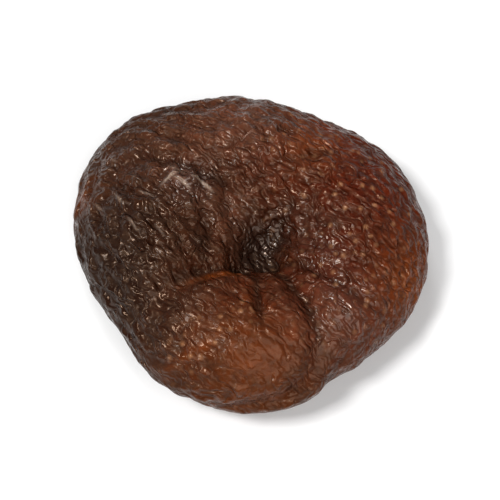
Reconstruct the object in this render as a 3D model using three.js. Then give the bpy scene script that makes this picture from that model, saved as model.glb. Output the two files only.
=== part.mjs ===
// One whole dried apricot, stoned and pressed flat, lying on its blossom side.
// Millimetres, +Z up. The near side, with the open end of the suture, faces -Y.
// The origin is under the middle of the fruit, on the surface that it rests on.

import * as THREE from "three";
import { ImprovedNoise } from "three/addons/math/ImprovedNoise.js";
import { mergeVertices } from "three/addons/utils/BufferGeometryUtils.js";

// Driving dimensions of the pressed fruit
const RADIUS = 20.7; // mean radius in plan
const OVAL = 0.3; // half the difference between its length and its breadth
const CROWN = 6.6; // upper face over the middle of the rim
const BELLY = 5.6; // underside below the middle of the rim
const FULLNESS = 2.7; // exponent of the cross-section: 2 is an ellipse, more is fuller
const CONTACT = 0.35; // how far the low points of the underside are pressed flat

// Mesh: an icosahedron divided this often, with its points drawn from the rim to the faces
const DIVISIONS = 23;
const FACE_BIAS = 0.15;
const SAME_POINT = 1e-4;

// The forms of a face fade out between these shares of its height, towards the rim
const FACE_EDGE = { none: 0.05, full: 0.75 };

// Places where the outline departs from a circle: angle and spread in degrees, size in mm
const OUTLINE = [
  { name: "far left shoulder", angle: 141, spread: 27, size: 2.3 },
  { name: "far right flat", angle: 64, spread: 22, size: -1.4 },
  { name: "left waist", angle: 190, spread: 12, size: -0.5 },
  { name: "near left flat", angle: 214, spread: 20, size: -2.1 },
  { name: "near right flat", angle: 312, spread: 24, size: -1.5 },
  { name: "suture notch", angle: 299, spread: 6, size: -0.5 },
];

// The stem cavity, from which the stone was pressed out
const STEM = new THREE.Vector2(1.3, -1.4);
const DISH = { radius: 8.8, depth: 3 };
const NAVEL = { radius: 2.8, stretch: 1.6, angle: 50, depth: 2.2 };

// The blossom end, in the middle of the underside
const BLOSSOM = new THREE.Vector2(-0.8, -0.6);
const HOLLOW = { radius: 6.6, depth: 2.2 };
const SCAR = { radius: 1.3, depth: 0.9 };
const SCAR_TIP = { radius: 0.6, height: 0.6 };

// Lobes of the two faces, between the folds: place in plan, spread and height
const UPPER_LOBES = [
  { name: "left cheek", x: -12, y: 0.5, spread: 6.8, height: 1.3 },
  { name: "knuckle of the left cheek", x: -8, y: 5.6, spread: 2.4, height: 0.6 },
  { name: "far lobe", x: 0.5, y: 13.5, spread: 5.5, height: 0.6 },
  { name: "right lobe", x: 13.2, y: 3.5, spread: 6, height: 0.7 },
  { name: "near right lobe", x: 11.2, y: -10.4, spread: 3.6, height: 0.8 },
  { name: "near lobe", x: -0.8, y: -12.6, spread: 5, height: 0.9 },
  { name: "near left lobe", x: -9.5, y: -10.5, spread: 4, height: 0.3 },
  { name: "dent of the far rim", x: -5, y: 17, spread: 1.3, height: -0.6 },
  { name: "hollow of the far left", x: -4, y: 8, spread: 2.6, height: -0.6 },
];
const LOWER_LOBES = [
  { name: "left cheek", x: -11.2, y: 2.4, spread: 4.6, height: 1.45 },
  { name: "far lobe", x: 2.5, y: 12.2, spread: 4.6, height: 1.55 },
  { name: "right lobe", x: 12, y: 0.5, spread: 4, height: 1.25 },
  { name: "near right lobe", x: 6, y: -10.6, spread: 4.2, height: 1.75 },
  { name: "near left lobe", x: -6.4, y: -9.4, spread: 3.8, height: 1.6 },
  { name: "far left hollow", x: -7.6, y: 11, spread: 3, height: -0.5 },
];

// Folds: start, bend and end in plan, with the depth and half width of the valley
// and how far its left bank stands above its right one
const UPPER_FOLDS = [
  { name: "stem tear", line: [[-0.9, -3], [1.2, -1.6], [4.6, 3]], depth: 0.7, width: 1.4, step: 0.5 },
  { name: "suture", line: [[1.8, -3.2], [6.4, -7.6], [8.2, -14.6]], depth: 0.95, width: 0.9, step: -0.2 },
  { name: "left", line: [[-0.8, -4.2], [-3.8, -4.2], [-8.6, -6.4]], depth: 0.85, width: 0.8, step: 0.35 },
  { name: "near", line: [[0.9, -3.8], [0.6, -7.4], [1.4, -12.4]], depth: 0.65, width: 0.8, step: 0 },
  { name: "right", line: [[2.6, -2.8], [8.4, -4.8], [15.2, -10.8]], depth: 0.6, width: 0.9, step: 0.2 },
  { name: "short right", line: [[3.2, -0.8], [6.8, -0.8], [11.6, -2.8]], depth: 0.25, width: 0.8, step: 0 },
  { name: "far left", line: [[-13.2, 9.4], [-6.4, 8.4], [-1.6, 5]], depth: 0.7, width: 0.85, step: 0.15 },
  { name: "cheek", line: [[-5.6, 1.6], [-4.6, -1], [-5.4, -4]], depth: 0.6, width: 0.7, step: 0 },
  { name: "far", line: [[2.6, 8.4], [5.4, 10], [11.6, 10.2]], depth: 0.4, width: 0.9, step: 0 },
  { name: "shoulder", line: [[-15.4, 11.6], [-14.2, 7.4], [-15.8, 3.4]], depth: 0.45, width: 0.9, step: 0 },
  { name: "near left", line: [[-5.8, -5.4], [-9.4, -7], [-14, -12.4]], depth: 0.55, width: 1.3, step: 0 },
];
const LOWER_FOLDS = [
  { name: "suture", line: [[-0.6, -1.6], [0.8, -9], [-2.4, -17.5]], depth: 1.15, width: 0.9, step: 0.35 },
  { name: "left", line: [[-2.2, -1.4], [-6.4, -1.2], [-13.2, -5.6]], depth: 0.7, width: 0.85, step: 0.2 },
  { name: "far left", line: [[-1.8, 0.8], [-2.6, 7.4], [-8.6, 13.4]], depth: 1, width: 0.95, step: -0.3 },
  { name: "far right", line: [[0.8, 0.6], [7.4, 3.2], [10.4, 10.4]], depth: 0.9, width: 1, step: 0.2 },
  { name: "right", line: [[1, -1], [5.4, -4.8], [12.4, -5.2]], depth: 0.5, width: 0.8, step: 0 },
];
const FOLD_STEPS = 28;
const FOLD_TAPER = 0.35; // share of its length over which a fold fades out
const FOLD_LIP = { height: 0.25, away: 2.1, spread: 1.1 }; // in depths and half widths of the valley
const FOLD_BANK = { height: 0.5, spread: 3.6 }; // in steps and half widths of the valley

// The suture where it runs round the near side of the rim: angles in degrees,
// heights over the middle of the rim, and the lip of the lower half below the groove
const SEAM = { from: 236, level: 280, to: 302, low: -1.6, middle: 1.5, high: 4.2 };
const SEAM_GROOVE = { depth: 0.6, width: 0.75, start: 14, end: 6, inner: 0.6, outer: 0.78 };
const SEAM_LIP = { height: 0.35, below: 1.8, spread: 1.2 };

// Puckers round the two ends, and the wrinkles of the skin
const PUCKERS = { count: 13, inner: 2.2, outer: 9, depth: 0.2, wander: 0.9, spacing: 4.5 };
const WRINKLE = { spacing: 3.6, depth: 0.3, sharpness: 1.4 };
const CRINKLE = { spacing: 2.1, depth: 0.26 };
const WANDER = { spacing: 8.3, size: 1.6 }; // how the wrinkles are drawn out of line
const SLACK = { x: -8, y: 7, spread: 11, least: 0.55 }; // where the skin hangs loosest
const TIGHT = { inner: 3, outer: 9, least: 0.35 }; // how the skin is tighter round the two ends

const DEGREE = Math.PI / 180;
const noise = new ImprovedNoise();

const bell = (distance, spread) => Math.exp(-((distance / spread) ** 2));
const fade = (value, low, high) => THREE.MathUtils.smoothstep(value, low, high);

// Smooth noise between about -0.5 and 0.5 with this spacing, in a layer of its own
function grain(p, spacing, layer) {
  return noise.noise(p.x / spacing + layer, p.y / spacing - layer, p.z / spacing + 0.5 * layer);
}

// Smallest difference between two angles, in degrees
function turn(a, b) {
  return THREE.MathUtils.euclideanModulo(a - b + 180, 360) - 180;
}

// Radius of the outline in plan, at an angle in degrees
function outline(angle) {
  let radius = RADIUS + OVAL * Math.cos(2 * angle * DEGREE);
  for (const place of OUTLINE) {
    radius += place.size * bell(turn(angle, place.angle), place.spread);
  }
  return radius;
}

// A point of the smooth pillow that the wrinkled skin is laid on, from a direction
function pillowPoint(direction) {
  const polar = Math.acos(THREE.MathUtils.clamp(direction.z, -1, 1));
  const share = Math.sin(polar - FACE_BIAS * Math.sin(2 * polar));
  const angle = Math.atan2(direction.y, direction.x);
  const radius = share * outline(angle / DEGREE);
  const side = direction.z >= 0 ? CROWN : -BELLY;
  const height = side * Math.sqrt(Math.max(0, 1 - share ** FULLNESS));
  return new THREE.Vector3(radius * Math.cos(angle), radius * Math.sin(angle), height);
}

// Height of one face's lobes at a place in plan
function lobes(list, x, y) {
  let height = 0;
  for (const lobe of list) {
    height += lobe.height * bell(Math.hypot(x - lobe.x, y - lobe.y), lobe.spread);
  }
  return height;
}

// The broad form of the upper face: its lobes, the dish round the stem cavity, and the cavity
function upperForm(x, y) {
  const dx = x - STEM.x;
  const dy = y - STEM.y;
  const c = Math.cos(NAVEL.angle * DEGREE);
  const s = Math.sin(NAVEL.angle * DEGREE);
  const along = (dx * c + dy * s) / NAVEL.stretch;
  const across = dy * c - dx * s;
  const dish = DISH.depth * bell(Math.hypot(dx, dy), DISH.radius);
  const navel = NAVEL.depth * bell(Math.hypot(along, across), NAVEL.radius);
  return lobes(UPPER_LOBES, x, y) - dish - navel;
}

// The broad form of the underside, as a height that stands out downwards
function lowerForm(x, y) {
  const distance = Math.hypot(x - BLOSSOM.x, y - BLOSSOM.y);
  const hollow = HOLLOW.depth * bell(distance, HOLLOW.radius);
  const scar = SCAR.depth * bell(distance, SCAR.radius) - SCAR_TIP.height * bell(distance, SCAR_TIP.radius);
  return lobes(LOWER_LOBES, x, y) - hollow - scar;
}

// Points along the line of a fold, in plan
function foldPoints(fold) {
  const [start, bend, end] = fold.line.map((place) => new THREE.Vector2(...place));
  return new THREE.QuadraticBezierCurve(start, bend, end).getPoints(FOLD_STEPS);
}

// Distance from a fold's line, positive on its left, and the share of its length at that place
function foldDistance(points, x, y) {
  let nearest = { distance: Infinity, share: 0 };
  for (let i = 0; i < points.length - 1; i++) {
    const a = points[i];
    const ux = points[i + 1].x - a.x;
    const uy = points[i + 1].y - a.y;
    const t = THREE.MathUtils.clamp(((x - a.x) * ux + (y - a.y) * uy) / (ux * ux + uy * uy), 0, 1);
    const dx = x - (a.x + t * ux);
    const dy = y - (a.y + t * uy);
    const distance = Math.hypot(dx, dy);
    if (distance < Math.abs(nearest.distance)) {
      const side = Math.sign(ux * dy - uy * dx) || 1;
      nearest = { distance: side * distance, share: (i + t) / FOLD_STEPS };
    }
  }
  return nearest;
}

// How far the skin is drawn in or stands out at a place, because of one face's folds
function foldRelief(folds, x, y) {
  let height = 0;
  for (const fold of folds) {
    const { distance, share } = foldDistance(fold.points, x, y);
    const strength = fade(1 - share, 0, FOLD_TAPER);
    const across = distance / fold.width;
    const valley = bell(across, 1);
    const lips = FOLD_LIP.height * bell(Math.abs(across) - FOLD_LIP.away, FOLD_LIP.spread);
    const bank = FOLD_BANK.height * Math.tanh(across) * bell(across, FOLD_BANK.spread);
    height += strength * (fold.depth * (lips - valley) + fold.step * bank);
  }
  return height;
}

// The suture's groove round the rim, and the lip of the lower half below it
function seamRelief(p) {
  const angle = THREE.MathUtils.euclideanModulo(Math.atan2(p.y, p.x) / DEGREE, 360);
  const started = fade(angle, SEAM.from, SEAM.from + SEAM_GROOVE.start);
  const ended = fade(angle, SEAM.to - SEAM_GROOVE.end, SEAM.to);
  const outside = fade(Math.hypot(p.x, p.y) / RADIUS, SEAM_GROOVE.inner, SEAM_GROOVE.outer);
  const rise = (SEAM.middle - SEAM.low) * fade(angle, SEAM.from, SEAM.level);
  const climb = (SEAM.high - SEAM.middle) * fade(angle, SEAM.level, SEAM.to);
  const above = p.z - (SEAM.low + rise + climb);
  const groove = SEAM_GROOVE.depth * bell(above, SEAM_GROOVE.width);
  const lip = SEAM_LIP.height * bell(above + SEAM_LIP.below, SEAM_LIP.spread);
  return started * (1 - ended) * outside * (lip - groove);
}

// Radial puckers round one end of the fruit
function puckers(end, p) {
  const dx = p.x - end.x;
  const dy = p.y - end.y;
  const distance = Math.hypot(dx, dy);
  const begun = fade(distance, 0, PUCKERS.inner);
  const over = fade(distance, PUCKERS.inner, PUCKERS.outer);
  const drift = PUCKERS.wander * grain(p, PUCKERS.spacing, 3.1);
  return PUCKERS.depth * begun * (1 - over) * Math.cos(PUCKERS.count * (Math.atan2(dy, dx) + drift));
}

// Wrinkles of the dried skin: rounded folds with sharper valleys between them
function wrinkles(end, p) {
  const moved = p.clone();
  moved.x += WANDER.size * grain(p, WANDER.spacing, 7.7);
  moved.y += WANDER.size * grain(p, WANDER.spacing, 4.3);
  const broad = Math.abs(2 * grain(moved, WRINKLE.spacing, 11.3));
  const valley = Math.max(0, 1 - broad ** (1 / WRINKLE.sharpness));
  const fine = grain(moved, CRINKLE.spacing, 31.7);
  const loosest = bell(Math.hypot(p.x - SLACK.x, p.y - SLACK.y), SLACK.spread);
  const loose = fade(Math.hypot(p.x - end.x, p.y - end.y), TIGHT.inner, TIGHT.outer);
  const slack = THREE.MathUtils.lerp(SLACK.least, 1, loosest) * THREE.MathUtils.lerp(TIGHT.least, 1, loose);
  return slack * (CRINKLE.depth * fine - WRINKLE.depth * valley);
}

// A ball's points as directions, each shared by the faces round it
function ballGeometry() {
  const ball = new THREE.IcosahedronGeometry(1, DIVISIONS);
  ball.deleteAttribute("normal");
  ball.deleteAttribute("uv");
  return mergeVertices(ball, SAME_POINT);
}

// The skin's geometry: the pillow and the broad form of its faces, then folds and wrinkles along its normals
function skinGeometry() {
  const geometry = ballGeometry();
  const position = geometry.getAttribute("position");
  const direction = new THREE.Vector3();
  for (const fold of [...UPPER_FOLDS, ...LOWER_FOLDS]) fold.points = foldPoints(fold);

  const onFace = []; // 1 on the upper face, -1 on the underside, and 0 at the middle of the rim
  for (let i = 0; i < position.count; i++) {
    direction.fromBufferAttribute(position, i).normalize();
    const p = pillowPoint(direction);
    const share = p.z >= 0 ? p.z / CROWN : p.z / BELLY;
    onFace.push(Math.sign(share) * fade(Math.abs(share), FACE_EDGE.none, FACE_EDGE.full));
    const form = p.z >= 0 ? upperForm(p.x, p.y) : -lowerForm(p.x, p.y);
    position.setXYZ(i, p.x, p.y, p.z + Math.abs(onFace[i]) * form);
  }
  geometry.computeVertexNormals();

  const normal = geometry.getAttribute("normal");
  const p = new THREE.Vector3();
  const n = new THREE.Vector3();
  for (let i = 0; i < position.count; i++) {
    p.fromBufferAttribute(position, i);
    n.fromBufferAttribute(normal, i);
    const upper = onFace[i] > 0;
    const end = upper ? STEM : BLOSSOM;
    const relief = foldRelief(upper ? UPPER_FOLDS : LOWER_FOLDS, p.x, p.y) + puckers(end, p);
    p.addScaledVector(n, Math.abs(onFace[i]) * relief + seamRelief(p) + wrinkles(end, p));
    position.setXYZ(i, p.x, p.y, p.z);
  }
  return geometry;
}

// Stands the skin on z = 0 with its low points pressed flat, and centres it in plan
function settle(geometry) {
  geometry.computeBoundingBox();
  const box = geometry.boundingBox;
  const middle = box.getCenter(new THREE.Vector3());
  geometry.translate(-middle.x, -middle.y, -box.min.z - CONTACT);
  const position = geometry.getAttribute("position");
  for (let i = 0; i < position.count; i++) {
    position.setZ(i, Math.max(0, position.getZ(i)));
  }
  geometry.computeVertexNormals();
  return geometry;
}

const skin = new THREE.MeshStandardMaterial({ color: 0x5e3a28, roughness: 0.5, metalness: 0 });
const apricot = new THREE.Mesh(settle(skinGeometry()), skin);
apricot.name = "apricot";

const part = new THREE.Group();
part.add(apricot);

export default part;
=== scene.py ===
"""Looks of one whole dried apricot: its wrinkled skin, its finish, and a plain studio round it.

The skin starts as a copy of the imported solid. It is divided twice, and wrinkles of three sizes grow on it,
as a thin skin buckles on flesh that shrinks. Some single wrinkles are laid over them. Lengths are in
millimetres, unless a name or a comment says otherwise.
"""

import logging
import math
from dataclasses import dataclass, field
from enum import Enum

import bpy
import numpy as np
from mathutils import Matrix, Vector


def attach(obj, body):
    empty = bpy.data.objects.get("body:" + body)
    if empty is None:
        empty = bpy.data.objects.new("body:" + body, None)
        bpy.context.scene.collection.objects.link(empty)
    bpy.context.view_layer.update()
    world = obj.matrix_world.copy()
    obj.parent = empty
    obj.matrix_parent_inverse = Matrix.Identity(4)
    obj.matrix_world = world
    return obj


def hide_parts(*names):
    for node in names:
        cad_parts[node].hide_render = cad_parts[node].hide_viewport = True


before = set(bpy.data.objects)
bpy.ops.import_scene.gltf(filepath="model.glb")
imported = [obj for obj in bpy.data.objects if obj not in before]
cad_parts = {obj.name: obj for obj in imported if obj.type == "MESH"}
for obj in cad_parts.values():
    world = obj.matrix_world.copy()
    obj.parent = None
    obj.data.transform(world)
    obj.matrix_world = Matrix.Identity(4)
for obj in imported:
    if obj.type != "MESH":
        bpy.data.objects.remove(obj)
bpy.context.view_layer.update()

MM = 0.001  # metres in a millimetre
TINY = 1e-9  # keeps a division away from zero
NOISE_SPAN = (0.3, 0.7)  # the values that most of a noise lies between
MIX_FACTOR, MIX_FIRST, MIX_SECOND, MIX_RESULT = 0, 6, 7, 2  # the sockets of a node that mixes colours
BODY = "root"
log = logging.getLogger("apricot")


class Mark(Enum):
    """Point attributes that carry the form and the regions of the skin to its finish, and mark where shade,
    a sheen and glints are painted.
    """

    FOLD = "fold"
    RIDGE = "ridge"
    VALLEY = "valley"
    DOT = "dot"
    DARK = "dark"
    PALE = "pale"
    SMOOTH = "smooth"
    RED = "red"
    AMBER = "amber"
    BLOOM = "painted_sheen"
    GLOSS = "gloss"


@dataclass(frozen=True)
class Patch:
    """A soft round region of the skin, in plan, which is the same on the upper face and below."""

    name: str
    centre: tuple[float, float]
    radius: float
    weight: float

    def share(self, points: np.ndarray) -> np.ndarray:
        """Gives how much of the patch is at each point.

        Args:
            points: Places, one row each.

        Returns:
            The patch's weight at each place, which fades as a bell from its centre.
        """
        away = np.hypot(points[:, 0] - self.centre[0], points[:, 1] - self.centre[1])
        return self.weight * np.exp(-((away / self.radius) ** 2))


@dataclass(frozen=True)
class Line:
    """A soft curved line on the upper face, given by its start, its bend and its end in plan."""

    name: str
    points: tuple[tuple[float, float], ...]
    width: float
    weight: float
    lowest: float = 5.0  # the height at which the upper face begins
    places: int = 25  # how many places along it are worked out
    worn_end: float = 0.12  # how much of a half wave is cut off at each end

    def share(self, points: np.ndarray) -> np.ndarray:
        """Gives how much of the line is at each point.

        Args:
            points: Places, one row each.

        Returns:
            The line's weight at each place. It is full on the line, and fades to its sides and ends.
        """
        start, bend, end = (np.array(point) for point in self.points)
        result = np.zeros(len(points))
        for along in np.linspace(0, 1, self.places):
            place = (1 - along) ** 2 * start + 2 * along * (1 - along) * bend + along**2 * end
            away = np.hypot(points[:, 0] - place[0], points[:, 1] - place[1])
            phase = math.pi * (self.worn_end + (1 - 2 * self.worn_end) * along)
            worn = self.weight * math.sin(phase) ** 0.5
            result = np.maximum(result, worn * np.exp(-((away / self.width) ** 2)))
        return result * (points[:, 2] > self.lowest)


def total(patches: tuple[Patch, ...], points: np.ndarray) -> np.ndarray:
    """Adds up the weights of some patches at each point."""
    return sum(patch.share(points) for patch in patches)


def strongest(lines: tuple[Line, ...], points: np.ndarray) -> np.ndarray:
    """Gives the largest weight that any of some lines has at each point."""
    return np.max([line.share(points) for line in lines], axis=0)


def fade(values: np.ndarray, low: float, high: float) -> np.ndarray:
    """Turns values into a smooth step.

    Args:
        values: Any numbers.
        low: Where the step starts.
        high: Where the step is complete.

    Returns:
        Numbers from 0 at low to 1 at high, with soft ends.
    """
    share = np.clip((values - low) / (high - low), 0, 1)
    return share * share * (3 - 2 * share)


class Skin:
    """The points of a closed mesh of triangles as arrays, with the neighbours of each."""

    def __init__(self, piece: bpy.types.Object) -> None:
        """Reads a piece's mesh.

        Args:
            piece: An object whose mesh has only triangles.
        """
        self.mesh = piece.data
        count = len(self.mesh.vertices)
        flat = np.empty(3 * count)
        self.mesh.vertices.foreach_get("co", flat)
        self.points = flat.reshape(-1, 3) / MM
        corners = np.empty(3 * len(self.mesh.polygons), np.int64)
        self.mesh.polygons.foreach_get("vertices", corners)
        self.faces = corners.reshape(-1, 3)
        self.neighbours, self.here = self._neighbours(count)

    def _neighbours(self, count: int) -> tuple[np.ndarray, np.ndarray]:
        """Lists the points that each point shares an edge with.

        Args:
            count: The number of points.

        Returns:
            A table of neighbours with a row for each point, and a table of 1 where an entry is one and 0
            where it only fills the row.
        """
        ends = np.empty(2 * len(self.mesh.edges), np.int64)
        self.mesh.edges.foreach_get("vertices", ends)
        edges = ends.reshape(-1, 2)
        both = np.concatenate([edges, edges[:, ::-1]])
        both = both[np.argsort(both[:, 0], kind="stable")]
        degree = np.bincount(both[:, 0], minlength=count)
        first = np.cumsum(degree) - degree
        column = np.arange(len(both)) - first[both[:, 0]]
        table = np.repeat(np.arange(count)[:, None], degree.max(), axis=1)
        table[both[:, 0], column] = both[:, 1]
        here = np.zeros(table.shape, np.float32)
        here[both[:, 0], column] = 1
        return table, here

    def normals(self) -> np.ndarray:
        """Works out the outward direction at each point.

        Returns:
            One unit vector a point.
        """
        first, second, third = (self.points[self.faces[:, corner]] for corner in range(3))
        across = np.cross(second - first, third - first)
        summed = np.zeros_like(self.points)
        for corner in range(3):
            for axis in range(3):
                summed[:, axis] += np.bincount(
                    self.faces[:, corner], across[:, axis], minlength=len(self.points)
                )
        return summed / np.linalg.norm(summed, axis=1, keepdims=True)

    def eased(self, values: np.ndarray, passes: int, share: float = 0.5) -> np.ndarray:
        """Smooths values over the surface.

        Args:
            values: A number or a vector for each point.
            passes: How often each value is drawn towards its neighbours' mean.
            share: How far it is drawn each time, from 0 to 1.

        Returns:
            The smoothed values.
        """
        weight = (self.here / self.here.sum(1, keepdims=True)).astype(np.float64)
        result = np.array(values, dtype=np.float64)
        for _ in range(passes):
            mean = np.einsum("ij,ij...->i...", weight, result[self.neighbours])
            result += share * (mean - result)
        return result

    def hollow(self, passes: int) -> np.ndarray:
        """Measures how deep each point lies in a hollow.

        Args:
            passes: Smoothing passes, which set how broad the hollows are.

        Returns:
            How far the smoothed surface is above each point, along its normal; below 0 on a hump.
        """
        gap = self.eased(self.points, passes, 1.0) - self.points
        return np.einsum("ij,ij->i", gap, self.normals())

    def raise_by(self, heights: np.ndarray) -> None:
        """Moves each point out along its normal by its height."""
        self.points += heights[:, None] * self.normals()

    def store(self) -> None:
        """Writes the points back into the mesh."""
        self.mesh.vertices.foreach_set("co", (self.points * MM).ravel())
        self.mesh.update()

    def mark(self, name: Mark, values: np.ndarray) -> None:
        """Writes one number a point as an attribute that materials can read.

        Args:
            name: Which attribute it is.
            values: The numbers.
        """
        layer = self.mesh.attributes.new(name.value, "FLOAT", "POINT")
        layer.data.foreach_set("value", values.astype(np.float32))


@dataclass
class Wrinkles:
    """A pattern that grows on a skin as a stiff layer buckles on a shrinking base.

    The growth follows the Swift-Hohenberg equation. One width of wrinkle is favoured, and every other one
    dies away. With no bias the wrinkles run as a maze, and with a bias they close up into pebbles.
    """

    spacing: float
    stretch: float
    steps: int
    seed: int
    drive: float = 0.45  # how strongly the favoured width grows
    step: float = 0.03  # the time that one step of growth stands for
    start: float = 0.35  # the spread of the heights that the growth starts from
    least_share: float = 0.22  # keeps the growth stable where the triangles are small
    uneven: float = 0.3  # how far the spacing varies from place to place
    uneven_passes: int = 60  # smoothing passes, which set how broad those places are

    def grow(self, skin: Skin, along: np.ndarray, bias: np.ndarray, scale: np.ndarray) -> np.ndarray:
        """Grows the pattern.

        Args:
            skin: The surface that it grows on.
            along: The direction in which the wrinkles are drawn out, a vector for each point.
            bias: How far the pattern turns from a maze to pebbles, for each point.
            scale: What the spacing is multiplied by, for each point.

        Returns:
            A height for each point, from about -1 to 1.
        """
        edges = skin.points[skin.neighbours] - skin.points[:, None]
        length = np.linalg.norm(edges, axis=2) + TINY
        tangent = along - np.einsum("ij,ij->i", along, skin.normals())[:, None] * skin.normals()
        tangent /= np.linalg.norm(tangent, axis=1, keepdims=True) + TINY
        side = np.cross(skin.normals(), tangent)
        # Neighbours along the wrinkles count for more, which draws the pattern out that way.
        lined_up = (np.einsum("ijk,ik->ij", edges, tangent) / length) ** 2
        weight = skin.here * (1 + (self.stretch**2 - 1) * lined_up)
        weight /= weight.sum(1, keepdims=True)
        spread = (weight * np.einsum("ijk,ik->ij", edges, side) ** 2).sum(1)
        draw = np.random.default_rng(self.seed)
        uneven = skin.eased(draw.normal(0, 1, len(skin.points)), self.uneven_passes, 1.0)
        uneven /= uneven.std()
        wave = 2 * math.pi / (self.spacing * scale * np.exp(self.uneven * uneven))
        # A wave of the favoured width stands above its neighbours' mean by this share of its height.
        favoured = np.maximum(0.5 * wave**2 * spread, self.least_share).astype(np.float32)
        weight = weight.astype(np.float32)
        lean = bias.astype(np.float32)

        def missed(height: np.ndarray) -> np.ndarray:
            """Gives what the favoured width leaves out of a height."""
            mean = np.einsum("ij,ij->i", weight, height[skin.neighbours])
            return height - (height - mean) / favoured

        height = draw.normal(0, self.start, len(skin.points)).astype(np.float32)
        for _ in range(self.steps):
            growth = self.drive * height - missed(missed(height)) + lean * height**2 - height**3
            height += self.step * growth
        return height.astype(np.float64)


class Graph:
    """Short ways to add nodes to a material."""

    def __init__(self, tree: bpy.types.NodeTree) -> None:
        """Keeps the material's node tree."""
        self.tree = tree

    def node(self, kind: str) -> bpy.types.Node:
        """Adds a node of a kind."""
        return self.tree.nodes.new(kind)

    def join(self, source: object, socket: bpy.types.NodeSocket) -> None:
        """Feeds an input from another node's output, or sets its value.

        Args:
            source: An output, a number or a colour of three numbers.
            socket: The input.
        """
        if isinstance(source, bpy.types.NodeSocket):
            self.tree.links.new(source, socket)
        elif isinstance(source, tuple):
            socket.default_value = (*source, 1.0)
        else:
            socket.default_value = source

    def attribute(self, mark: Mark) -> bpy.types.NodeSocket:
        """Reads one of the skin's marks."""
        node = self.node("ShaderNodeAttribute")
        node.attribute_name = mark.value
        return node.outputs["Fac"]

    def noise(self, place: bpy.types.NodeSocket, size: float, detail: float) -> bpy.types.NodeSocket:
        """Adds soft noise.

        Args:
            place: Where the noise is read.
            size: How broad its largest features are.
            detail: How many finer layers it has.

        Returns:
            A value that is 0.5 on average.
        """
        node = self.node("ShaderNodeTexNoise")
        self.join(place, node.inputs["Vector"])
        node.inputs["Scale"].default_value = 1 / (size * MM)
        node.inputs["Detail"].default_value = detail
        return node.outputs["Fac"]

    def creases(
        self, place: bpy.types.NodeSocket, size: float, turn: float, stretch: tuple[float, float, float]
    ) -> bpy.types.NodeSocket:
        """Adds a net of fine uneven creases.

        Args:
            place: Where they are read.
            size: How broad the skin is between the largest of them.
            turn: The angle at which they are drawn out, in degrees from X towards Y.
            stretch: How far they are drawn out along that angle, across it and upwards.

        Returns:
            A value that is about 0 in a crease and 1 between them.
        """
        drawn = self.node("ShaderNodeMapping")
        drawn.vector_type = "TEXTURE"
        drawn.inputs["Rotation"].default_value = (0, 0, math.radians(turn))
        drawn.inputs["Scale"].default_value = stretch
        self.join(place, drawn.inputs["Vector"])
        warp = self.noise(place, 2 * size, detail=2.0)
        bent = self.node("ShaderNodeVectorMath")
        bent.operation = "ADD"
        self.join(drawn.outputs["Vector"], bent.inputs[0])
        self.join(self.maths("MULTIPLY", warp, 2 * size * MM), bent.inputs[1])
        net = self.noise(bent.outputs[0], size, detail=1.0)
        away = self.maths("ABSOLUTE", self.maths("SUBTRACT", net, 0.5), 0)
        reach = 0.25  # how far from its middle value the noise stands for flat skin
        return self.range(away, 0.0, reach, 0, 1)

    def dots(
        self, place: bpy.types.NodeSocket, spacing: float, share: float, rim: float = 0.36, top: float = 0.08
    ) -> bpy.types.NodeSocket:
        """Scatters small round domes.

        Args:
            place: Where they are read.
            spacing: How far apart they are on average.
            share: How many of them there are, from 0 to 1.
            rim: How far a dome reaches from its centre, as a share of the spacing.
            top: How far its flat top reaches, as a share of the spacing.

        Returns:
            A value that is 1 on top of a dome and 0 between them.
        """
        node = self.node("ShaderNodeTexVoronoi")
        self.join(place, node.inputs["Vector"])
        node.inputs["Scale"].default_value = 1 / (spacing * MM)
        split = self.node("ShaderNodeSeparateColor")
        self.join(node.outputs["Color"], split.inputs[0])
        there = self.maths("LESS_THAN", split.outputs[0], share)
        dome = self.range(node.outputs["Distance"], rim, top, 0, 1)
        return self.maths("MULTIPLY", there, dome)

    def maths(self, operation: str, first: object, second: object) -> bpy.types.NodeSocket:
        """Adds a step of arithmetic.

        Args:
            operation: The name of the step, as Blender has it.
            first: An output or a number.
            second: An output or a number.

        Returns:
            The result.
        """
        node = self.node("ShaderNodeMath")
        node.operation = operation
        self.join(first, node.inputs[0])
        self.join(second, node.inputs[1])
        return node.outputs[0]

    def range(
        self, value: bpy.types.NodeSocket, low: float, high: float, first: float, last: float
    ) -> bpy.types.NodeSocket:
        """Maps a value from one range to another.

        Args:
            value: The value.
            low: The value that becomes first.
            high: The value that becomes last.
            first: The result at and below low.
            last: The result at and above high.

        Returns:
            The mapped value.
        """
        node = self.node("ShaderNodeMapRange")
        self.join(value, node.inputs["Value"])
        for name, number in (("From Min", low), ("From Max", high), ("To Min", first), ("To Max", last)):
            node.inputs[name].default_value = number
        return node.outputs["Result"]

    def mix(self, share: object, first: object, second: object) -> bpy.types.NodeSocket:
        """Blends two colours.

        Args:
            share: How much of the second there is.
            first: An output or a colour.
            second: An output or a colour.

        Returns:
            The blended colour.
        """
        node = self.node("ShaderNodeMix")
        node.data_type = "RGBA"
        self.join(share, node.inputs[MIX_FACTOR])
        self.join(first, node.inputs[MIX_FIRST])
        self.join(second, node.inputs[MIX_SECOND])
        return node.outputs[MIX_RESULT]

    def shade(
        self, colour: bpy.types.NodeSocket, value: bpy.types.NodeSocket, dark: float, light: float
    ) -> bpy.types.NodeSocket:
        """Makes a colour darker and lighter from place to place.

        Args:
            colour: The colour.
            value: Noise that says where.
            dark: What the colour is multiplied by where the noise is low.
            light: What it is multiplied by where the noise is high.

        Returns:
            The shaded colour.
        """
        factor = self.range(value, *NOISE_SPAN, dark, light)
        node = self.node("ShaderNodeVectorMath")
        node.operation = "SCALE"
        self.join(colour, node.inputs[0])
        self.join(factor, node.inputs["Scale"])
        return node.outputs[0]


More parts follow.
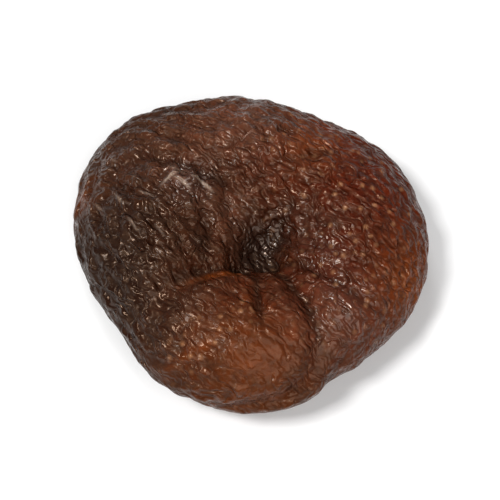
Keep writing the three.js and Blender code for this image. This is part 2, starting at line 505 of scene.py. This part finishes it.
@dataclass(frozen=True)
class Pattern:
    """The outputs that the colour, the roughness and the relief of the skin share."""

    place: bpy.types.NodeSocket
    marks: dict[Mark, bpy.types.NodeSocket]
    mottle: bpy.types.NodeSocket
    creases: bpy.types.NodeSocket
    creased: bpy.types.NodeSocket
    dots: bpy.types.NodeSocket


@dataclass(frozen=True)
class SkinFinish:
    """Satin skin of a naturally dried apricot, brown and translucent, with shade, a sheen and glints painted
    into its colour. Colours are linear light.
    """

    name: str = "dried_apricot_skin"
    brown: tuple[float, float, float] = (0.030, 0.0077, 0.0022)
    red: tuple[float, float, float] = (0.076, 0.0068, 0.0010)
    amber: tuple[float, float, float] = (0.180, 0.036, 0.004)
    # painted sheen: a grey cast laid where the skin reflects broad light
    sheen_grey: tuple[float, float, float] = (0.104, 0.030, 0.014)
    # painted shade, laid into the hollows, the valleys between wrinkles and the creases
    fold: tuple[float, float, float] = (0.012, 0.003, 0.001)
    # darker places: mostly painted shade, in the stem cavity, a hollow and on the left side
    dark: tuple[float, float, float] = (0.011, 0.0034, 0.0018)
    # a painted glint along the single wrinkles
    pale: tuple[float, float, float] = (0.40, 0.29, 0.22)
    painted_glint_share: float = 0.75
    # paler crests, partly a painted highlight
    ridge: tuple[float, float, float] = (0.120, 0.060, 0.030)
    ridge_share: float = 0.08
    # how much painted shade lies in the valleys between wrinkles
    valley_shade_share: float = 0.25
    roughness: tuple[float, float] = (0.50, 0.18)  # where it is dry, and where it is moist
    blotch: float = 5.0
    blotch_shades: tuple[float, float] = (0.78, 1.22)  # what a colour is multiplied by, from low to high
    mottle: float = 1.3
    mottle_shades: tuple[float, float] = (0.72, 1.28)
    grain: float = 0.5
    grain_height: float = 0.04
    crease: float = 1.25
    crease_turn: float = -45.0
    crease_stretch: tuple[float, float, float] = (1.8, 0.9, 1.0)
    crease_height: float = 0.27
    # how much painted shade lies in the fine creases
    crease_shade_share: float = 0.32
    crease_shade_edge: float = 0.35  # the share of its height at which a crease's painted shade stops
    smooth_crease: float = 0.3  # what is left of the creases on smooth skin
    wet_mottle: tuple[float, float] = (0.36, 0.52)  # the mottle where the skin is dry, and where it is moist
    wet_crease: tuple[float, float] = (0.1, 0.4)  # the same for the creases
    smooth_wet: float = 0.4  # what is left of the moist patches on smooth skin
    dot_spacing: float = 1.15
    dot_share: float = 0.6
    dot_height: float = 0.07
    # the dots' colour: pale specks, partly a painted glint
    dot_speck_and_glint: float = 0.65
    dot: tuple[float, float, float] = (0.34, 0.155, 0.07)
    subsurface: float = 0.15
    subsurface_depth: float = 1.6
    subsurface_tint: tuple[float, float, float] = (1.0, 0.38, 0.16)
    specular: float = 0.30
    specular_tint: tuple[float, float, float] = (1.0, 0.61, 0.37)
    least_gloss: float = 0.08
    gloss_roughness: float = 0.14

    def material(self) -> bpy.types.Material:
        """Builds the material.

        Returns:
            A node material that reads Object coordinates and the skin's marks.
        """
        made = bpy.data.materials.new(self.name)
        made.use_nodes = True
        graph = Graph(made.node_tree)
        pattern = self._pattern(graph)
        normal = self._relief(graph, pattern)
        shader = graph.tree.nodes["Principled BSDF"]
        graph.join(self._colour(graph, pattern), shader.inputs["Base Color"])
        graph.join(self._rough(graph, pattern), shader.inputs["Roughness"])
        graph.join(normal, shader.inputs["Normal"])
        shader.inputs["Subsurface Weight"].default_value = self.subsurface
        shader.inputs["Subsurface Radius"].default_value = self.subsurface_tint
        shader.inputs["Subsurface Scale"].default_value = self.subsurface_depth * MM
        shader.inputs["Specular IOR Level"].default_value = self.specular
        shader.inputs["Specular Tint"].default_value = (*self.specular_tint, 1)
        gloss = graph.range(pattern.marks[Mark.GLOSS], 0, 1, self.least_gloss, 1)
        graph.join(gloss, shader.inputs["Coat Weight"])
        graph.join(normal, shader.inputs["Coat Normal"])
        shader.inputs["Coat Roughness"].default_value = self.gloss_roughness
        return made

    def _pattern(self, graph: Graph) -> Pattern:
        """Adds what the colour, the roughness and the relief share.

        Args:
            graph: The material's nodes.

        Returns:
            The shared outputs.
        """
        place = graph.node("ShaderNodeTexCoord").outputs["Object"]
        marks = {mark: graph.attribute(mark) for mark in Mark}
        dots = graph.dots(place, self.dot_spacing, self.dot_share)
        return Pattern(
            place=place,
            marks=marks,
            mottle=graph.noise(place, self.mottle, detail=4.0),
            creases=graph.creases(place, self.crease, self.crease_turn, self.crease_stretch),
            creased=graph.range(marks[Mark.SMOOTH], 0, 1, 1.0, self.smooth_crease),
            dots=graph.maths("MULTIPLY", dots, marks[Mark.DOT]),
        )

    def _colour(self, graph: Graph, pattern: Pattern) -> bpy.types.NodeSocket:
        """Mixes the skin's colour: its regions, a painted sheen, its blotches, painted highlights and glints
        on its crests and wrinkles, painted shade in its valleys, creases and hollows, and its dots.

        Args:
            graph: The material's nodes.
            pattern: The outputs that the parts of the material share.

        Returns:
            The colour.
        """
        marks = pattern.marks
        colour = graph.mix(marks[Mark.RED], self.brown, self.red)
        colour = graph.mix(marks[Mark.AMBER], colour, self.amber)
        # a painted sheen
        colour = graph.mix(marks[Mark.BLOOM], colour, self.sheen_grey)
        blotch = graph.noise(pattern.place, self.blotch, detail=3.0)
        colour = graph.shade(colour, blotch, *self.blotch_shades)
        colour = graph.shade(colour, pattern.mottle, *self.mottle_shades)
        # paler crests, partly a painted highlight
        ridge = graph.maths("MULTIPLY", marks[Mark.RIDGE], self.ridge_share)
        colour = graph.mix(ridge, colour, self.ridge)
        # painted shade in the valleys, the fine creases, the broad hollows and along the crease lines
        valley = graph.maths("MULTIPLY", marks[Mark.VALLEY], self.valley_shade_share)
        colour = graph.mix(valley, colour, self.fold)
        crease = graph.range(pattern.creases, 0.0, self.crease_shade_edge, self.crease_shade_share, 0)
        colour = graph.mix(graph.maths("MULTIPLY", crease, pattern.creased), colour, self.fold)
        colour = graph.mix(marks[Mark.FOLD], colour, self.fold)
        # darker places, mostly painted shade
        colour = graph.mix(marks[Mark.DARK], colour, self.dark)
        # painted glints along the single wrinkles
        pale = graph.maths("MULTIPLY", marks[Mark.PALE], self.painted_glint_share)
        colour = graph.mix(pale, colour, self.pale)
        # the dots: pale specks, partly a painted glint
        return graph.mix(graph.maths("MULTIPLY", pattern.dots, self.dot_speck_and_glint), colour, self.dot)

    def _rough(self, graph: Graph, pattern: Pattern) -> bpy.types.NodeSocket:
        """Works out how rough the skin is, which is least on its moist patches, dots and the crests with a
        painted glint.

        Args:
            graph: The material's nodes.
            pattern: The outputs that the parts of the material share.

        Returns:
            The roughness.
        """
        patchy = graph.range(pattern.mottle, *self.wet_mottle, 0, 1)
        raised = graph.range(pattern.creases, *self.wet_crease, 0, 1)
        wet = graph.maths("MULTIPLY", patchy, raised)
        moist_share = graph.range(pattern.marks[Mark.SMOOTH], 0, 1, 1.0, self.smooth_wet)
        wet = graph.maths("MULTIPLY", wet, moist_share)
        wet = graph.maths("MAXIMUM", wet, pattern.dots)
        wet = graph.maths("MAXIMUM", wet, pattern.marks[Mark.PALE])
        return graph.range(wet, 0, 1, *self.roughness)

    def _relief(self, graph: Graph, pattern: Pattern) -> bpy.types.NodeSocket:
        """Adds the relief that is too fine for the mesh: the grain, the creases and the dots.

        Args:
            graph: The material's nodes.
            pattern: The outputs that the parts of the material share.

        Returns:
            The normal.
        """
        grain = graph.noise(pattern.place, self.grain, detail=3.0)
        grain_height = graph.maths("MULTIPLY", grain, self.grain_height * MM)
        crease_height = graph.maths("MULTIPLY", pattern.creases, self.crease_height * MM)
        crease_height = graph.maths("MULTIPLY", crease_height, pattern.creased)
        dot_height = graph.maths("MULTIPLY", pattern.dots, self.dot_height * MM)
        fine = graph.maths("ADD", grain_height, dot_height)
        bump = graph.node("ShaderNodeBump")
        bump.inputs["Strength"].default_value = 1.0
        bump.inputs["Distance"].default_value = 1.0
        graph.join(graph.maths("ADD", fine, crease_height), bump.inputs["Height"])
        return bump.outputs["Normal"]


@dataclass
class Apricot:
    """The fruit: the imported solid's form with its wrinkles, pebbles and colours."""

    node: str = "apricot"
    slot: str = "skin"
    weld: float = 0.001  # how close two points of the solid are that are joined
    rounding: tuple[int, int] = (5, 3)  # smoothing passes after each division
    stem: tuple[float, float] = (1.3, -1.4)
    diagonal: tuple[float, float, float] = (0.71, -0.71, 0)
    ringed: tuple[float, float] = (2, 9)  # how far in front of the stem rings begin, and have taken over
    middle_height: float = 5.6
    under_middle: float = 3  # how far below the middle the skin begins to loosen
    over_middle: float = 2  # how far above the middle it is as loose as it gets
    side_slack: float = 0.5
    top_slack: float = 0.3
    finish: SkinFinish = field(default_factory=SkinFinish)
    folds: Wrinkles = field(default_factory=lambda: Wrinkles(2.7, stretch=1.5, steps=500, seed=7))
    fold_height: float = 0.18
    fold_bias: float = 0.2
    pebbles: Wrinkles = field(default_factory=lambda: Wrinkles(1.55, stretch=1.2, steps=300, seed=23))
    pebble_height: float = 0.04
    pebble_bias: tuple[float, float] = (0.5, 0.5)  # everywhere, and added where the skin is dotted
    strokes: Wrinkles = field(default_factory=lambda: Wrinkles(0.95, stretch=1.6, steps=260, seed=11))
    stroke_height: float = 0.045
    stroke_bias: tuple[float, float] = (0.3, 0.7)  # everywhere, and added where the skin is dotted
    stroke_growth: float = 0.15  # how much wider the strokes are where the skin is dotted
    fold_passes: int = 90  # smoothing passes that find the broad hollows
    # the depths of a broad hollow where its painted shade begins, and where it is full
    fold_shade_depth: tuple[float, float] = (0.12, 0.75)
    valley_passes: int = 6  # smoothing passes that find the valleys between wrinkles
    # the same for the painted shade of the valleys between wrinkles
    valley_shade_depth: tuple[float, float] = (0.0, 0.045)
    # the heights of a crest where its paler colour, partly a painted highlight, begins and is full
    crest_height: tuple[float, float] = (0.0, 0.035)
    painted_glint_crest: tuple[float, float] = (0.45, 0.95)  # the shares of a single wrinkle where its painted glint begins, and where it is full
    smooth_lowest: float = 3  # below this height no region counts as smooth
    loose: tuple[Patch, ...] = (
        Patch("left cheek", (-12, 1), 9, 0.8),
        Patch("far left", (-9, 11), 8, 0.4),
        Patch("far lobe", (2, 14), 7, 0.6),
        Patch("knuckle", (-7.6, 6.4), 2.6, 1.0),
    )
    smooth: tuple[Patch, ...] = (
        Patch("near lobe", (1.5, -15), 5.5, 0.68),
        Patch("near left lobe", (-5.5, -9), 3.5, 0.45),
        Patch("near right rim", (12, -13), 6, 0.3),
    )
    dotted: tuple[Patch, ...] = (
        Patch("right lobe", (13, 3), 9, 1.0),
        Patch("near right lobe", (11, -9), 5, 0.8),
        Patch("near lobe, left", (-7.4, -15.0), 1.9, 1.2),
        Patch("near lobe, middle", (-4.4, -12.8), 2.0, 1.3),
        Patch("near lobe, right", (-1.0, -10.4), 2.1, 1.3),
        Patch("far lobe", (4, 13), 6, 0.4),
    )
    red: tuple[Patch, ...] = (
        Patch("right lobe", (15, 3), 10, 0.9),
        Patch("far right", (9, 12), 7, 0.8),
        Patch("near right", (10, -9), 8, 0.6),
        Patch("near lobe", (-3, -11), 7, 0.45),
        Patch("beyond the stem cavity", (0.5, 8.5), 3.5, 0.35),
    )
    amber: tuple[Patch, ...] = (
        Patch("near lobe", (0, -15), 6.2, 0.42),
        Patch("near left lobe", (-6, -10), 3.5, 0.15),
        Patch("right rim", (20, -6), 6, 0.6),
        Patch("far right", (6.8, 11.2), 3.8, 0.5),
        Patch("left rim", (-20.5, 5), 2.2, 0.5),
    )
    # Darker places, mostly painted shade: the stem cavity and a hollow, where shade falls, and the left
    # side, where neighbouring fruit would shade it.
    dark: tuple[Patch, ...] = (
        Patch("near end of the stem cavity", (-0.6, -3.0), 1.9, 0.6),
        Patch("stem cavity", (1.2, -1.8), 2.2, 0.75),
        Patch("left wall of the stem cavity", (0.0, 0.0), 1.8, 0.4),
        Patch("left end of the near lobe", (-6.5, -9.5), 3.0, 0.35),
        Patch("far end of the stem cavity", (2.6, 0.8), 2.2, 0.55),
        Patch("near left rim", (-15, -10), 6.5, 0.8),
        Patch("left rim", (-20, -2), 5, 0.6),
        Patch("left cheek", (-13, -1), 6, 0.5),
        Patch("right lobe", (9.5, 1), 4.5, 0.33),
        Patch("hollow of the far left", (-4.5, 6.5), 2.6, 0.3),
    )
    # Dark lines of painted shade along the creases and in the pits.
    creases: tuple[Line, ...] = (
        Line("stem tear", ((-1.0, -3.2), (1.2, -1.6), (4.9, 3.4)), 0.9, 0.75),
        Line("suture", ((1.8, -3.2), (6.4, -7.6), (8.2, -14.6)), 0.55, 0.75),
        Line("left fold", ((-0.8, -4.2), (-3.8, -4.2), (-8.6, -6.4)), 0.5, 0.7),
        Line("near fold", ((0.9, -3.8), (0.6, -7.4), (1.4, -12.4)), 0.55, 0.6),
        Line("right fold", ((2.6, -2.8), (8.4, -4.8), (15.2, -10.8)), 0.5, 0.5),
        Line("far left fold", ((-13.2, 9.4), (-6.4, 8.4), (-1.6, 5.0)), 0.6, 0.7),
        Line("pit of the far left", ((-9.2, 11.6), (-8.7, 11.3), (-8.3, 10.9)), 0.6, 0.7),
        Line("pit of the cheek", ((-6.0, -1.2), (-5.7, -1.6), (-5.5, -2.1)), 0.7, 0.8),
        Line("cheek fold", ((-5.6, 1.6), (-4.6, -1.0), (-5.4, -4.0)), 0.6, 0.6),
        Line("far fold", ((2.6, 8.4), (5.4, 10.0), (11.6, 10.2)), 0.5, 0.4),
        Line("left flank of the near lobe", ((-11.0, -12.5), (-8.5, -9.2), (-4.5, -6.9)), 1.1, 0.35),
    )
    # Lines of amber colour: the lip under the left fold and the golden band of the near lobe, partly a
    # painted highlight.
    lips: tuple[Line, ...] = (
        Line("lip of the left fold", ((-1.2, -5.0), (-4.2, -5.2), (-8.0, -7.2)), 0.45, 0.9),
        Line("golden band of the near lobe", ((-8.6, -16.0), (-3.2, -14.2), (-0.4, -8.8)), 1.1, 0.5),
    )
    # Single raised wrinkles, each with a painted glint along its crest.
    ridges: tuple[Line, ...] = (
        Line("wrinkle by the far left fold", ((-6.8, 6.3), (-5.4, 6.0), (-4.3, 4.5)), 0.32, 1.0),
        Line("knuckle", ((-10.3, 4.8), (-9.6, 6.3), (-8.3, 6.7)), 0.32, 1.0),
        Line("under the knuckle", ((-9.0, 6.0), (-7.8, 5.7), (-6.8, 4.5)), 0.30, 0.9),
        Line("over the knuckle", ((-9.6, 7.5), (-8.4, 7.4), (-7.3, 6.6)), 0.28, 0.8),
        Line("left shoulder", ((-17.0, 9.6), (-16.0, 9.5), (-15.2, 9.0)), 0.25, 0.7),
        Line("upper cheek", ((-15.8, 4.7), (-15.2, 3.5), (-14.3, 2.6)), 0.25, 0.75),
        Line("middle of the cheek", ((-13.0, 4.4), (-11.9, 4.1), (-10.8, 3.3)), 0.25, 0.8),
        Line("outer cheek", ((-18.3, 3.9), (-17.6, 3.0), (-16.8, 2.4)), 0.25, 0.7),
        Line("lower cheek", ((-14.2, 0.9), (-13.3, 0.1), (-12.7, -1.0)), 0.25, 0.75),
        Line("inner cheek", ((-11.1, 0.3), (-10.3, -0.8), (-9.3, -1.8)), 0.25, 0.7),
    )
    ridge_height: float = 0.13
    gloss: tuple[Patch, ...] = (
        Patch("knuckle", (-7.4, 6.0), 2.6, 1.0),
        Patch("far left", (-15.5, 8.5), 3.5, 0.25),
        Patch("far lobe", (0, 12.5), 5, 0.28),
        Patch("near right lobe", (10.5, -9), 4, 0.5),
        Patch("left cheek", (-12, 0), 5.5, 0.08),
        Patch("middle", (-2.5, 2), 3.5, 0.18),
        Patch("stem cavity", (1.5, -1.0), 2.4, 0.2),
        Patch("right of the stem cavity", (5.0, 0.9), 2.8, 0.4),
        Patch("right lobe", (8.5, -2.5), 2.8, 0.3),
    )
    # Where a grey sheen is painted on the skin.
    painted_sheen: tuple[Patch, ...] = (
        Patch("far lobe", (-1, 14.5), 6, 1.0),
        Patch("far left", (-10, 10), 7, 0.35),
        Patch("knuckle", (-7.6, 6.4), 2.4, 0.5),
        Patch("middle", (-3, 2.5), 3.5, 0.4),
        Patch("near left", (-9, -10), 5, 0.3),
        Patch("near right", (9, -11), 5, 0.6),
        Patch("right of the stem cavity", (6, 1), 3, 0.25),
    )

    def build(self) -> bpy.types.Object:
        """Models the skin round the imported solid.

        Returns:
            The finished piece, in place of the solid.
        """
        piece = self._copy()
        self._divide()
        skin = Skin(piece)
        self._fold(skin)
        skin.store()
        self._divide()
        skin = Skin(piece)
        self._roughen(skin)
        skin.store()
        self._colour(skin)
        bpy.ops.object.shade_smooth()
        self._dress(piece)
        return piece

    def _copy(self) -> bpy.types.Object:
        """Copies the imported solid's mesh, with its loose triangles joined.

        Returns:
            A new object, selected and active.
        """
        bpy.ops.object.select_all(action="DESELECT")
        piece = bpy.data.objects.new("apricot_skin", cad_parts[self.node].data.copy())
        bpy.context.scene.collection.objects.link(piece)
        piece.select_set(True)
        bpy.context.view_layer.objects.active = piece
        bpy.ops.mesh.customdata_custom_splitnormals_clear()
        bpy.ops.object.mode_set(mode="EDIT")
        bpy.ops.mesh.select_all(action="SELECT")
        bpy.ops.mesh.remove_doubles(threshold=self.weld * MM)
        bpy.ops.mesh.normals_make_consistent(inside=False)
        bpy.ops.object.mode_set(mode="OBJECT")
        return piece

    def _divide(self) -> None:
        """Halves every edge of the active piece and rounds the new points out to its curve."""
        bpy.ops.object.mode_set(mode="EDIT")
        bpy.ops.mesh.select_all(action="SELECT")
        bpy.ops.mesh.subdivide(number_cuts=1, smoothness=1.0)
        bpy.ops.object.mode_set(mode="OBJECT")

    def _fold(self, skin: Skin) -> None:
        """Grows the widest wrinkles.

        Args:
            skin: The surface after its first division.
        """
        skin.points = skin.eased(skin.points, self.rounding[0])
        even = np.ones(len(skin.points))
        folds = self.folds.grow(skin, self._along(skin), self.fold_bias * even, even)
        skin.raise_by(self.fold_height * self._slack(skin) * folds)

    def _roughen(self, skin: Skin) -> None:
        """Grows the finer wrinkles, lays the single ones over them, and marks what has formed, with the
        places for painted shade, highlights and glints.

        Args:
            skin: The surface after its second division.
        """
        skin.points = skin.eased(skin.points, self.rounding[1])
        hollow = skin.hollow(self.fold_passes)
        dotted = np.clip(total(self.dotted, skin.points), 0, 1)
        bias = self.pebble_bias[0] + self.pebble_bias[1] * dotted
        pebbles = self.pebbles.grow(skin, self._along(skin), bias, np.ones(len(dotted)))
        bias = self.stroke_bias[0] + self.stroke_bias[1] * dotted
        strokes = self.strokes.grow(skin, self._along(skin), bias, 1 + self.stroke_growth * dotted)
        skin.raise_by(self._slack(skin) * (self.pebble_height * pebbles + self.stroke_height * strokes))
        ridges = strongest(self.ridges, skin.points)
        skin.raise_by(self.ridge_height * ridges)
        valley = skin.hollow(self.valley_passes)
        skin.points[:, 2] = np.maximum(skin.points[:, 2], 0)
        creased = strongest(self.creases, skin.points)
        # painted shade in the broad hollows and along the creases
        skin.mark(Mark.FOLD, np.maximum(fade(hollow, *self.fold_shade_depth), creased))
        # paler crests, partly a painted highlight
        skin.mark(Mark.RIDGE, fade(-valley, *self.crest_height))
        # painted shade in the valleys between wrinkles
        skin.mark(Mark.VALLEY, fade(valley, *self.valley_shade_depth))
        skin.mark(Mark.DOT, dotted)
        # painted glints along the single wrinkles
        skin.mark(Mark.PALE, fade(ridges, *self.painted_glint_crest))

    def _colour(self, skin: Skin) -> None:
        """Marks the regions that differ in smoothness, colour or gloss, with the places for a painted sheen
        and painted shade.

        Args:
            skin: The finished surface.
        """
        smooth = np.clip(total(self.smooth, skin.points), 0, 1)
        skin.mark(Mark.SMOOTH, np.where(skin.points[:, 2] > self.smooth_lowest, smooth, 0))
        amber = np.clip(total(self.amber, skin.points), 0, 1)
        # amber, with the lips partly a painted highlight
        skin.mark(Mark.AMBER, np.maximum(amber, strongest(self.lips, skin.points)))
        regions = {
            Mark.RED: self.red,
            Mark.BLOOM: self.painted_sheen,
            Mark.DARK: self.dark,
            Mark.GLOSS: self.gloss,
        }
        for mark, patches in regions.items():
            skin.mark(mark, np.clip(total(patches, skin.points), 0, 1))

    def _along(self, skin: Skin) -> np.ndarray:
        """Gives the direction in which the wrinkles are drawn out.

        Args:
            skin: The surface.

        Returns:
            One vector a point: a diagonal, which turns to rings round the stem on the near side.
        """
        away = skin.points[:, :2] - np.array(self.stem)
        rings = np.column_stack([-away[:, 1], away[:, 0], np.zeros(len(away))])
        rings /= np.linalg.norm(rings, axis=1, keepdims=True) + TINY
        diagonal = np.array(self.diagonal)
        near = fade(-away[:, 1], *self.ringed)[:, None]
        towards = np.where(rings @ diagonal < 0, -1, 1)[:, None]
        return (1 - near) * diagonal + near * rings * towards

    def _slack(self, skin: Skin) -> np.ndarray:
        """Gives how loose the skin is, which sets how high it wrinkles.

        Args:
            skin: The surface.

        Returns:
            One number a point: the sides' slack there and below, and more above.
        """
        low, high = self.middle_height - self.under_middle, self.middle_height + self.over_middle
        upper = fade(skin.points[:, 2], low, high)
        more = total(self.loose, skin.points)
        less = total(self.smooth, skin.points)
        return self.side_slack + upper * (self.top_slack + more - less)

    def _dress(self, piece: bpy.types.Object) -> None:
        """Gives the piece its finish, hangs it on its body, and hides the imported solid."""
        piece.data.materials.clear()
        piece.data.materials.append(self.finish.material())
        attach(piece, BODY)
        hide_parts(self.node)


@dataclass(frozen=True)
class Light:
    """A square soft light that faces the fruit: its place and side in metres, and its power in watts."""

    name: str
    place: tuple[float, float, float]
    side: float
    power: float

    def build(self) -> bpy.types.Object:
        """Hangs the light.

        Returns:
            The lamp.
        """
        data = bpy.data.lights.new(self.name, "AREA")
        data.energy = self.power
        data.size = self.side
        lamp = bpy.data.objects.new(self.name, data)
        bpy.context.scene.collection.objects.link(lamp)
        lamp.location = self.place
        lamp.rotation_euler = (-Vector(self.place)).to_track_quat("-Z", "Y").to_euler()
        return lamp


@dataclass
class Studio:
    """A pale floor under soft light, with a broad fill and two smaller lights that make the skin glint.

    The floor's side is in metres.
    """

    floor_side: float = 3.0
    floor_white: float = 0.90
    floor_roughness: float = 0.8
    sky: float = 0.24
    lights: tuple[Light, ...] = (
        Light("key", (-0.22, -0.08, 0.47), 0.13, 1.85),
        Light("back", (-0.08, 0.24, 0.45), 0.12, 0.42),
        Light("front", (0.12, -0.30, 0.42), 0.40, 1.5),
    )

    def build(self) -> bpy.types.Object:
        """Builds the floor, the lights and the sky.

        Returns:
            The floor.
        """
        bpy.ops.object.select_all(action="DESELECT")
        bpy.ops.mesh.primitive_plane_add(size=self.floor_side, location=(0, 0, 0))
        floor = bpy.context.object
        floor.name = "floor"
        white = bpy.data.materials.new("floor_white")
        white.use_nodes = True
        shader = white.node_tree.nodes["Principled BSDF"]
        shade = self.floor_white
        shader.inputs["Base Color"].default_value = (shade, shade, shade, 1)
        shader.inputs["Roughness"].default_value = self.floor_roughness
        floor.data.materials.append(white)
        for light in self.lights:
            light.build()
        world = bpy.data.worlds.new("sky")
        world.use_nodes = True
        background = world.node_tree.nodes["Background"]
        background.inputs["Color"].default_value = (1, 1, 1, 1)
        background.inputs["Strength"].default_value = self.sky
        bpy.context.scene.world = world
        bpy.context.scene.view_settings.view_transform = "Standard"
        return floor


@dataclass
class Viewpoint:
    """The camera, which looks steeply down at the fruit. Lengths are in metres, apart from the lens."""

    elevation: float = 65.0  # degrees above the floor
    distance: float = 0.165
    target: tuple[float, float, float] = (0, 0, 0.0055)
    lens: float = 100.0
    nearest: float = 0.01  # what is nearer the camera than this is cut off

    def build(self) -> bpy.types.Object:
        """Adds the camera and makes it the scene's own.

        Returns:
            The camera.
        """
        data = bpy.data.cameras.new("camera")
        data.lens = self.lens
        data.clip_start = self.nearest
        camera = bpy.data.objects.new("camera", data)
        bpy.context.scene.collection.objects.link(camera)
        rise = math.radians(self.elevation)
        back = Vector((0, -math.cos(rise), math.sin(rise)))
        camera.location = Vector(self.target) + self.distance * back
        camera.rotation_euler = (-back).to_track_quat("-Z", "Y").to_euler()
        bpy.context.scene.camera = camera
        return camera


def main() -> None:
    """Builds the camera, the studio and the fruit, and reports each."""
    logging.basicConfig(level=logging.INFO, format="%(name)s: %(message)s")
    camera = Viewpoint().build()
    log.info("camera at %s", [round(value, 4) for value in camera.location])
    floor = Studio().build()
    log.info("%s is in place", floor.name)
    piece = Apricot().build()
    log.info("%s has %d faces", piece.name, len(piece.data.polygons))


if __name__ == "__main__":
    main()
